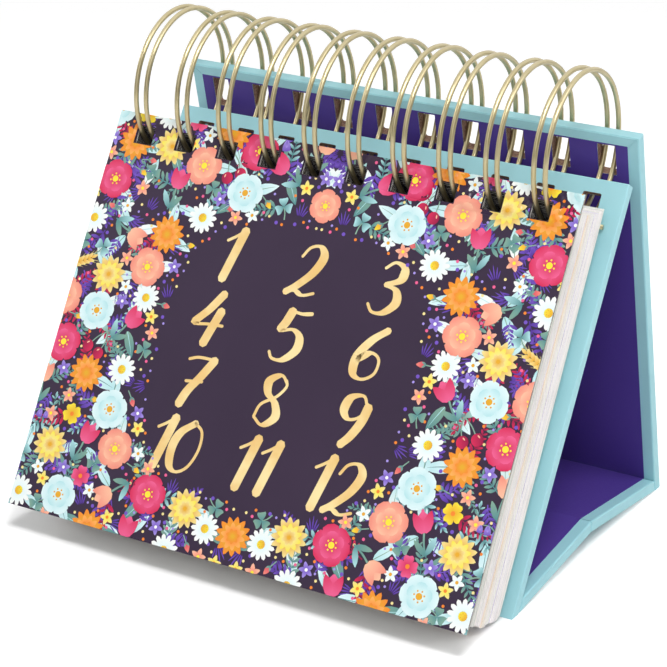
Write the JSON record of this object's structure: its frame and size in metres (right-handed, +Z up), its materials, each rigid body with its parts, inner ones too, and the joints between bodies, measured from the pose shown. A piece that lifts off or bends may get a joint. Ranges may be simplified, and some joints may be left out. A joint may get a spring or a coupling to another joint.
{
  "type": "desk calendar",
  "caption": "Perpetual flip calendar: punched page block and card cover hung on twin-loop wire over a folding hard-case easel.",
  "frame": {"origin": "centre of the bottom of the box, on the table between the front and back boards", "axes": "+X along the width, towards the right as seen from the front; -Y out of the cover; +Z up"},
  "size_m": [0.1336, 0.1136, 0.1253],
  "materials": {
    "turquoise_wrap": "satin",
    "purple_lining": "matte",
    "greyboard": "matte",
    "champagne_gold_wire": "gloss",
    "aubergine_card": "gloss",
    "page_paper": "matte"
  },
  "bodies": {
    "front_board": {"front_board_wrap": "turquoise_wrap", "front_board_core": "greyboard", "front_board_lining": "purple_lining", "twin_loop_wire": "champagne_gold_wire"},
    "base_front": {"base_front_wrap": "turquoise_wrap", "base_front_core": "greyboard", "base_front_lining": "purple_lining"},
    "base_rear": {"base_rear_wrap": "turquoise_wrap", "base_rear_core": "greyboard", "base_rear_lining": "purple_lining"},
    "back_board": {"back_board_wrap": "turquoise_wrap", "back_board_core": "greyboard", "back_board_lining": "purple_lining"},
    "pages_fourth_quarter": {"month_pack_10": "page_paper", "month_pack_11": "page_paper", "month_pack_12": "page_paper"},
    "pages_third_quarter": {"month_pack_07": "page_paper", "month_pack_08": "page_paper", "month_pack_09": "page_paper"},
    "pages_second_quarter": {"month_pack_04": "page_paper", "month_pack_05": "page_paper", "month_pack_06": "page_paper"},
    "pages_first_quarter": {"month_pack_01": "page_paper", "month_pack_02": "page_paper", "month_pack_03": "page_paper"},
    "leading_leaf": {"leading_leaf": "page_paper"},
    "front_cover": {"front_cover": "aubergine_card"}
  },
  "joints": [
    {"name": "easel_fold", "type": "hinge", "parent": "front_board", "child": "base_front", "pos_m": [0, -0.02565, 0.0034], "axis": [1, 0, 0], "range_deg": [0, 15]},
    {"name": "base_crease", "type": "hinge", "parent": "base_front", "child": "base_rear", "pos_m": [0, 0.01266, 0.0049], "axis": [-1, 0, 0], "range_deg": [0, 36.1]},
    {"name": "rear_hinge", "type": "hinge", "parent": "base_rear", "child": "back_board", "pos_m": [0, 0.05265, 0.00326], "axis": [1, 0, 0], "range_deg": [0, 19.8]},
    {"name": "fourth_quarter_flip", "type": "hinge", "parent": "front_board", "child": "pages_fourth_quarter", "pos_m": [0, 0.01359, 0.10471], "axis": [-1, 0, 0], "range_deg": [0, 180]},
    {"name": "third_quarter_flip", "type": "hinge", "parent": "pages_fourth_quarter", "child": "pages_third_quarter", "pos_m": [0, 0.01359, 0.10471], "axis": [-1, 0, 0], "range_deg": [0, 180]},
    {"name": "second_quarter_flip", "type": "hinge", "parent": "pages_third_quarter", "child": "pages_second_quarter", "pos_m": [0, 0.01359, 0.10471], "axis": [-1, 0, 0], "range_deg": [0, 180]},
    {"name": "first_quarter_flip", "type": "hinge", "parent": "pages_second_quarter", "child": "pages_first_quarter", "pos_m": [0, 0.01359, 0.10471], "axis": [-1, 0, 0], "range_deg": [0, 180]},
    {"name": "leading_leaf_flip", "type": "hinge", "parent": "pages_first_quarter", "child": "leading_leaf", "pos_m": [0, 0.01359, 0.10471], "axis": [-1, 0, 0], "range_deg": [0, 180]},
    {"name": "cover_flip", "type": "hinge", "parent": "leading_leaf", "child": "front_cover", "pos_m": [0, 0.01359, 0.10471], "axis": [-1, 0, 0], "range_deg": [0, 180]}
  ],
  "couplings": [
    {"joint": "base_crease", "follows": "easel_fold", "ratio": 2.4},
    {"joint": "rear_hinge", "follows": "easel_fold", "ratio": 1.3167}
  ]
}
